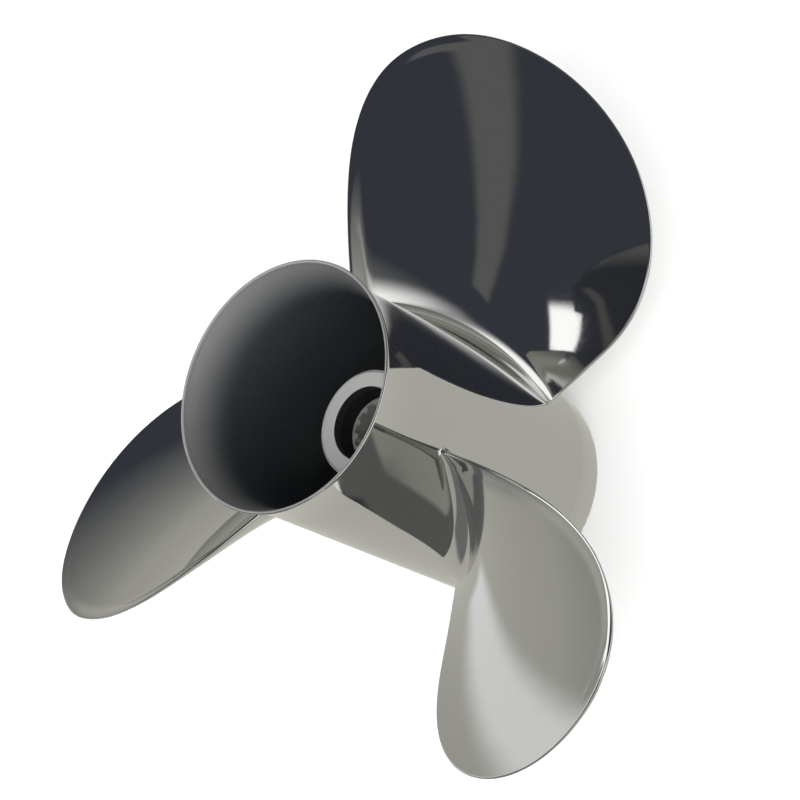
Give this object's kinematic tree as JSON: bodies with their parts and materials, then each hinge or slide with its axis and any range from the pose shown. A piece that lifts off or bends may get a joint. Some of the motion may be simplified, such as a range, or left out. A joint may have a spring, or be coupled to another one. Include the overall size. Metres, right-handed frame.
{
  "type": "outboard boat propeller",
  "caption": "Polished steel boat propeller with skewed blades on a flared open barrel, and a rubber-mounted splined sleeve inside it.",
  "frame": {"origin": "on the shaft's axis, in the plane of the barrel's front rim, on which the propeller stands", "axes": "+Z along the shaft's axis, pointing aft; +Y through the middle of blade_1"},
  "size_m": [0.2708, 0.2597, 0.1358],
  "materials": {
    "polished_steel": "mirror polish",
    "machined_steel": "turned",
    "black_rubber": "matt",
    "sleeve_steel": "machined"
  },
  "bodies": {
    "root": {"barrel": "polished_steel", "blade_1": "polished_steel", "blade_2": "polished_steel", "blade_3": "polished_steel", "rib_1": "polished_steel", "rib_2": "polished_steel", "rib_3": "polished_steel", "inner_hub": "machined_steel", "rubber_bush": "black_rubber", "splined_sleeve": "sleeve_steel"}
  },
  "joints": []
}
